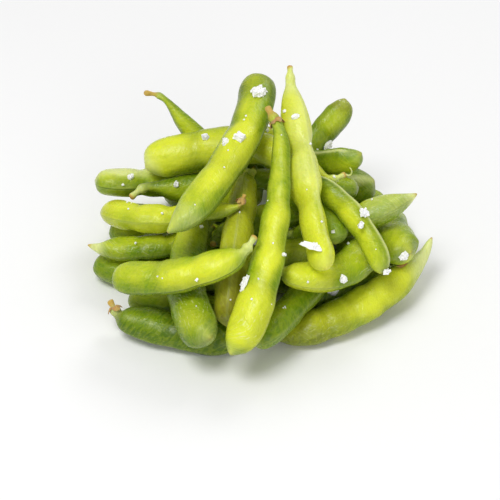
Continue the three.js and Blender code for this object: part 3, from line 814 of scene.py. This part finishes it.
def skin_material(settings):
    """Waxy green skin with cloudy patches, fine slanting veins, pale seams and dried ends, and the painted
    light, shade, highlights and glints that the masks carry.
    """
    s = Shader("pod_skin")
    odd = s.attribute("odd")
    along, side = s.attribute("along_mm"), s.attribute("side_mm")
    place = s.node("ShaderNodeTexCoord", output=3)
    run = s.vector(along * 0.22 + odd * 40, side * 0.9, odd * 9)
    slant = s.vector(along + side * 0.55, side * 0.30 - along * 0.08, odd * 50)
    cloud = s.noise(place, 150, 4, 0.6)
    speck = s.noise(place, 900, 3, 0.6)
    streak = s.noise(run, 0.9, 4, 0.6)
    vein = s.noise(slant, 0.75, 3, 0.5, 0.6)
    crease = (1 - abs((vein - 0.5) * 9)).clamped()

    # Painted light and shade: the bright green share lights a pod's skin and the deep green share shades it.
    bright = (s.attribute("bright") + (cloud - 0.5) * 0.9 + (streak - 0.5) * 0.7).clamped()
    deep_and_shaded = (s.attribute("deep_and_shaded") + (cloud - 0.5) * 0.5).clamped()
    colour = s.mix(bright, settings.green, settings.bright)
    colour = s.mix(deep_and_shaded * 0.85, colour, settings.deep_and_shaded)
    colour = s.mix((s.attribute("olive") + (speck - 0.5) * 0.5 * s.attribute("olive")).clamped() * 0.85,
                   colour, settings.olive)
    colour = s.mix(s.attribute("brown") * (0.5 + speck), colour, SCORCHED)
    colour = s.mix(crease * 0.14, colour, settings.bright)
    # Pale necks, seams and tips, with painted highlights down some fronts and along seam ridges.
    colour = s.mix((s.attribute("pale_and_highlit") * (0.55 + streak * 0.8)).clamped(), colour, settings.pale_and_highlit)
    colour = s.mix(s.attribute("pale_highlit_seam") * (0.5 + streak), colour, settings.pale_and_highlit)
    colour = s.mix(s.attribute("dark_seam") * (0.5 + streak), colour, SEAM_SHADE)
    colour = s.mix((s.attribute("tan") * (0.7 + 0.6 * speck)).clamped(), colour, settings.tan)
    colour = s.mix((s.attribute("rust") * (0.5 + 0.9 * speck)).clamped(), colour, settings.rust)
    colour = s.mix(speck.above(0.63, 0.75) * 0.12, colour, settings.deep_and_shaded)
    # Painted glints of wet skin: short pale dashes, a few over every pod and more on its patches of glints.
    glint_dash = s.noise(s.vector(along * 0.5, side * 2.2, odd * 30), 1.0, 2, 0.5).above(0.6, 0.68)
    colour = s.mix(glint_dash * (s.attribute("painted_glints") * 0.7 + 0.06), colour, PAINTED_GLINT)

    dry = (s.attribute("tan") + s.attribute("rust") + s.attribute("brown")).clamped()
    rough = (0.27 + (cloud - 0.5) * 0.22 + (speck - 0.5) * 0.12 + dry * 0.35).clamped()
    grain = s.bump(streak + crease * 0.5, 0.30, 0.0005)
    fine = s.bump(speck + vein * 0.7, 0.22, 0.0003, grain)
    return s.surface(
        {"Subsurface Weight": 0.25, "Subsurface Radius": (0.8, 1.0, 0.1), "Subsurface Scale": 0.0016,
         "IOR": 1.4, "Specular IOR Level": 0.42, "Sheen Weight": 0.01, "Sheen Roughness": 0.4,
         "Coat Roughness": 0.14},
        {"Base Color": colour, "Roughness": rough, "Normal": fine,
         "Coat Weight": ((cloud - 0.42) * 1.6).clamped() * (1 - dry) * 0.35})


def sepal_material(settings):
    """Dried sepals, rust to tan, with fibres."""
    s = Shader("dried_sepal")
    place = s.node("ShaderNodeTexCoord", output=3)
    patch = s.noise(place, 500, 3, 0.6)
    fibre = s.noise(place, 2200, 3, 0.7)
    colour = s.mix(patch.above(0.35, 0.7), settings.rust, settings.tan)
    colour = s.mix(fibre.above(0.5, 0.75) * 0.5, colour, SEPAL_FIBRE)
    return s.surface({"Subsurface Weight": 0.1, "Subsurface Scale": 0.001, "Sheen Weight": 0.3},
                     {"Base Color": colour, "Roughness": 0.62 + (fibre - 0.5) * 0.3,
                      "Normal": s.bump(fibre + patch, 0.6, 0.0003)})


def salt_material(settings):
    """Cloudy salt: white where it is thick, with clear and frosted faces."""
    s = Shader("salt_crystal")
    place = s.node("ShaderNodeTexCoord", output=3)
    frost = s.noise(place, 1500, 3, 0.6)
    haze = s.noise(place, 420, 2, 0.5)
    colour = s.mix(haze.above(0.4, 0.7) * 0.3, settings.white, HAZY_SALT)
    return s.surface({"Subsurface Weight": 0.35, "Subsurface Radius": (1.0, 1.0, 1.0),
                      "Subsurface Scale": 0.0005, "IOR": 1.54},
                     {"Base Color": colour, "Roughness": 0.22 + 0.5 * frost,
                      "Normal": s.bump(frost, 0.3, 0.0002)})


def floor_material(settings):
    """Pale matt card with a very faint tooth."""
    s = Shader("pale_card")
    place = s.node("ShaderNodeTexCoord", output=3)
    tooth = s.noise(place, 260, 3, 0.6)
    colour = s.mix(tooth * 0.12, settings.floor, CARD_TOOTH)
    return s.surface({"Specular IOR Level": 0.3},
                     {"Base Color": colour, "Roughness": 0.62 + 0.1 * tooth,
                      "Normal": s.bump(tooth, 0.04, 0.0004)})


# Salt

def crystal(draw, size, flat):
    """Corners of one broken crystal about the origin."""
    corners = []
    for x in (-1, 1):
        for y in (-1, 1):
            for z in (-1, 1):
                corners.append(Vector((x * draw.uniform(0.55, 1), y * draw.uniform(0.45, 0.9),
                                       z * flat * draw.uniform(0.6, 1))) * size / 2)
    corners.append(Vector((draw.uniform(-0.3, 0.3), draw.uniform(-0.3, 0.3), flat * 1.2)) * size / 2)
    return corners


def add_crystal(work, corners, at, spin):
    """Adds the closed hull of a crystal's corners, turned and put in its place."""
    made = bmesh.new()
    for corner in corners:
        made.verts.new(at + spin @ corner)
    bmesh.ops.convex_hull(made, input=made.verts)
    loose = [v for v in made.verts if not v.link_faces]
    bmesh.ops.delete(made, geom=loose, context="VERTS")
    table = {v: work.verts.new(v.co) for v in made.verts}
    for face in made.faces:
        work.faces.new([table[v] for v in face.verts])
    made.free()


def basis_from(normal, draw):
    """A turn that takes up to the normal, with any spin about it and a little lean."""
    up = Vector((0, 0, 1))
    lean = Vector((draw.uniform(-0.35, 0.35), draw.uniform(-0.35, 0.35), 1)).normalized()
    spin = Matrix.Rotation(draw.uniform(0, math.tau), 3, "Z")
    return up.rotation_difference(normal).to_matrix() @ up.rotation_difference(lean).to_matrix() @ spin


def finish_salt(name, work, material):
    """The crystals in hand as one piece of salt."""
    mesh = bpy.data.meshes.new(name)
    work.to_mesh(mesh)
    work.free()
    mesh.materials.append(material)
    turned_outwards(mesh)
    piece = placed(mesh)
    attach(piece, "root")
    return piece


def pod_surface():
    """All pods' skins in one tree for finding where salt lies."""
    meshes = [bpy.data.objects[node + "_pod"].data for node in OUTSIDE + INSIDE]
    shells = [([v.co.copy() for v in mesh.vertices], [face.vertices for face in mesh.polygons])
              for mesh in meshes]
    return BVHTree.FromPolygons(*joined(shells))


# Where single grains are seen from the front, in millimetres across and up.
GRAINS_SEEN = [
    (4.1, 49.9), (10, 54.8), (26.5, 32.6), (25.9, 14.1), (31.3, 10), (-18.9, -1.5), (-14.9, 19.3),
    (-18.3, 15.7), (-47.1, 31.1), (-28.6, 34.6), (14.3, 17.6), (8.9, 6.4),
]
GRAINS_MIDDLE = Vector((-0.00176, 0.00092, 0))
SPRINKLED_REACH = 0.055
GRAIN_SEED, FLAKE_SEED = 77, 400
GRAIN_FLATNESS = 0.7
LEAST_UPWARD = 0.35  # no grain stays on skin that is steeper than this
FLAKE_COVER = 1.6  # crystals on a flake for each crystal's area of its top
LEAST_CRYSTALS = 7
FLAKE_ROUGHNESS = 0.00012
FLAKE_REACH = 0.004  # how far from its pod's skin a flake's crystal may lie

# Rows along a pod and columns round it
OUTSIDE_GRID = (150, 64)
INSIDE_GRID = (100, 48)


class EDAMAME_OT_outside_pods(bpy.types.Operator):
    """Makes the pods on the outside of the heap, with seams, folds, stalks and sepals"""
    bl_idname = "edamame.outside_pods"
    bl_label = "Outside pods"

    def execute(self, context):
        settings = context.scene.edamame_pods
        materials = [skin_material(settings), sepal_material(settings)]
        for node in OUTSIDE:
            make_pod(node, OUTSIDE_GRID, materials)
        return {"FINISHED"}


class EDAMAME_OT_inside_pods(bpy.types.Operator):
    """Makes the pods inside and under the heap"""
    bl_idname = "edamame.inside_pods"
    bl_label = "Inside pods"

    def execute(self, context):
        materials = [bpy.data.materials["pod_skin"], bpy.data.materials["dried_sepal"]]
        for node in INSIDE:
            make_pod(node, INSIDE_GRID, materials)
        return {"FINISHED"}


class EDAMAME_OT_salt_flakes(bpy.types.Operator):
    """Makes the large salt flakes, rough and strewn with broken crystals"""
    bl_idname = "edamame.salt_flakes"
    bl_label = "Salt flakes"

    def execute(self, context):
        settings = context.scene.edamame_salt
        material = salt_material(settings)
        surface = pod_surface()
        for k, node in enumerate(FLAKES):
            draw = random.Random(FLAKE_SEED + k)
            piece = self.flake(node, settings, surface, draw, material)
            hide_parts(node)
        return {"FINISHED"}

    def flake(self, node, settings, surface, draw, material):
        """The flake's own form with a rough face, and crystals lying all over its top."""
        corners, faces = welded(node)
        middle = Vector(corners.mean(0))
        _, _, axes = np.linalg.svd(corners - corners.mean(0))
        out = Vector(axes[2])
        hit, _, _, _ = surface.find_nearest(middle)
        out = out if out.dot(middle - hit) > 0 else -out
        tops = [face for face in faces if self.span_of(corners, face).normalized().dot(out) > 0.3]
        areas = [max(self.span_of(corners, face).length / 2, 1e-12) for face in tops]
        count = max(LEAST_CRYSTALS, int(sum(areas) / (settings.crystal ** 2) * FLAKE_COVER))
        work = bmesh.new()
        table = [work.verts.new(c) for c in corners]
        for face in faces:
            work.faces.new([table[v] for v in face])
        bmesh.ops.subdivide_edges(work, edges=work.edges, cuts=2, use_grid_fill=True)
        for corner in work.verts:
            corner.co += Vector([draw.uniform(-1, 1) for _ in range(3)]) * FLAKE_ROUGHNESS
        for _ in range(count):
            face = draw.choices(tops, areas)[0]
            a, b = sorted((draw.random(), draw.random()))
            p, q, r = (Vector(corners[v]) for v in face[:3])
            place = p * a + q * (b - a) + r * (1 - b)
            found, normal, _, _ = surface.ray_cast(place + out * FLAKE_REACH, -out, 3 * FLAKE_REACH)
            if found is None or (found - place).length > FLAKE_REACH:
                continue
            size = settings.crystal * draw.uniform(0.5, 1.4)
            flat = draw.uniform(0.2, 0.5)
            broken = crystal(draw, size, flat)
            at = place + out * size * flat * draw.uniform(-0.1, 0.3)
            add_crystal(work, broken, at, basis_from(normal, draw))
        return finish_salt(node + "_crystals", work, material)

    def span_of(self, corners, face):
        """A vector square to the face, as long as twice its area."""
        a, b, c = (Vector(corners[v]) for v in face[:3])
        return (b - a).cross(c - a)


class EDAMAME_OT_salt_grains(bpy.types.Operator):
    """Makes the single grains of salt that lie here and there on the pods"""
    bl_idname = "edamame.salt_grains"
    bl_label = "Salt grains"

    def execute(self, context):
        settings = context.scene.edamame_salt
        draw = random.Random(GRAIN_SEED)
        surface = pod_surface()
        work = bmesh.new()
        rays = []
        for across, up in GRAINS_SEEN:
            start = GRAINS_MIDDLE + Vector((across * MM, 0, 0)) + UP_IN_VIEW * (up * MM)
            start += TOWARDS_CAMERA * 0.3
            rays.append((start, -TOWARDS_CAMERA, draw.uniform(1.0, 1.6)))
        for _ in range(settings.sprinkled):
            angle, reach = draw.uniform(0, math.tau), SPRINKLED_REACH * math.sqrt(draw.random())
            start = Vector((reach * math.cos(angle), reach * math.sin(angle), 0.2))
            rays.append((start, Vector((0, 0, -1)), draw.uniform(0.4, 0.95)))
        for start, way, size in rays:
            found, normal, _, _ = surface.ray_cast(start, way, 1.0)
            if found is None or normal.z < LEAST_UPWARD:
                continue
            size *= MM
            broken = crystal(draw, size, GRAIN_FLATNESS)
            add_crystal(work, broken, found + normal * size * 0.25, basis_from(normal, draw))
        finish_salt("salt_grains", work, bpy.data.materials["salt_crystal"])
        return {"FINISHED"}


class EDAMAME_OT_stage(bpy.types.Operator):
    """Makes the camera, the pale floor and the soft lights"""
    bl_idname = "edamame.stage"
    bl_label = "Stage"

    def execute(self, context):
        settings = context.scene.edamame_stage
        self.camera(context)
        half = settings.floor_size / 2
        floor = new_mesh("floor", [(-half, -half, 0), (half, -half, 0), (half, half, 0), (-half, half, 0)],
                         [[0, 1, 2, 3]], [floor_material(settings)])
        floor.location.z = -FLOOR_GAP
        self.world(context)
        for name, place, width, share in LAMPS:
            self.lamp(name, place, width, settings.lamp_power * share)
        context.scene.view_settings.view_transform = "Standard"
        return {"FINISHED"}

    def camera(self, context):
        """A long lens that looks down on the heap from the front."""
        data = bpy.data.cameras.new("camera")
        data.sensor_width = 36
        data.lens = CAMERA_LENS
        data.clip_end = 20
        camera = bpy.data.objects.new("camera", data)
        camera.location = CAMERA_AIM + TOWARDS_CAMERA * CAMERA_DISTANCE
        camera.rotation_euler = (-TOWARDS_CAMERA).to_track_quat("-Z", "Y").to_euler()
        context.scene.collection.objects.link(camera)
        context.scene.camera = camera

    def world(self, context):
        """Plain white light from all round."""
        world = bpy.data.worlds.new("soft_room")
        world.use_nodes = True
        background = world.node_tree.nodes["Background"]
        background.inputs["Color"].default_value = (1, 1, 1, 1)
        background.inputs["Strength"].default_value = ROOM_LIGHT
        context.scene.world = world

    def lamp(self, name, place, width, power):
        """A round soft lamp that faces the heap."""
        data = bpy.data.lights.new(name, "AREA")
        data.shape = "DISK"
        data.size = width
        data.energy = power
        lamp = bpy.data.objects.new(name, data)
        lamp.location = place
        lamp.rotation_euler = (LAMPS_AIM - Vector(place)).to_track_quat("-Z", "Y").to_euler()
        bpy.context.scene.collection.objects.link(lamp)


class EDAMAME_PT_heap(bpy.types.Panel):
    """The steps that build the heap, and their settings"""
    bl_label = "Edamame"
    bl_idname = "EDAMAME_PT_heap"
    bl_space_type = "VIEW_3D"
    bl_region_type = "UI"
    bl_category = "Edamame"

    def draw(self, context):
        for name in GROUPS:
            group = getattr(context.scene, name)
            box = self.layout.box()
            for key in group.bl_rna.properties.keys():
                if key not in ("rna_type", "name"):
                    box.prop(group, key)
        for step in STEPS:
            self.layout.operator(step.bl_idname)


STEPS = (
    EDAMAME_OT_stage,
    EDAMAME_OT_outside_pods,
    EDAMAME_OT_inside_pods,
    EDAMAME_OT_salt_flakes,
    EDAMAME_OT_salt_grains,
)
GROUPS = {"edamame_stage": StageSettings, "edamame_pods": PodSettings, "edamame_salt": SaltSettings}
CLASSES = (*GROUPS.values(), *STEPS, EDAMAME_PT_heap)


def register():
    for kind in CLASSES:
        bpy.utils.register_class(kind)
    for name, group in GROUPS.items():
        setattr(bpy.types.Scene, name, PointerProperty(type=group))


def unregister():
    for name in GROUPS:
        delattr(bpy.types.Scene, name)
    for kind in reversed(CLASSES):
        bpy.utils.unregister_class(kind)


def main():
    register()
    bpy.ops.edamame.stage()
    bpy.ops.edamame.outside_pods()
    bpy.ops.edamame.inside_pods()
    bpy.ops.edamame.salt_flakes()
    bpy.ops.edamame.salt_grains()
    bpy.context.view_layer.update()


if __name__ == "__main__":
    main()
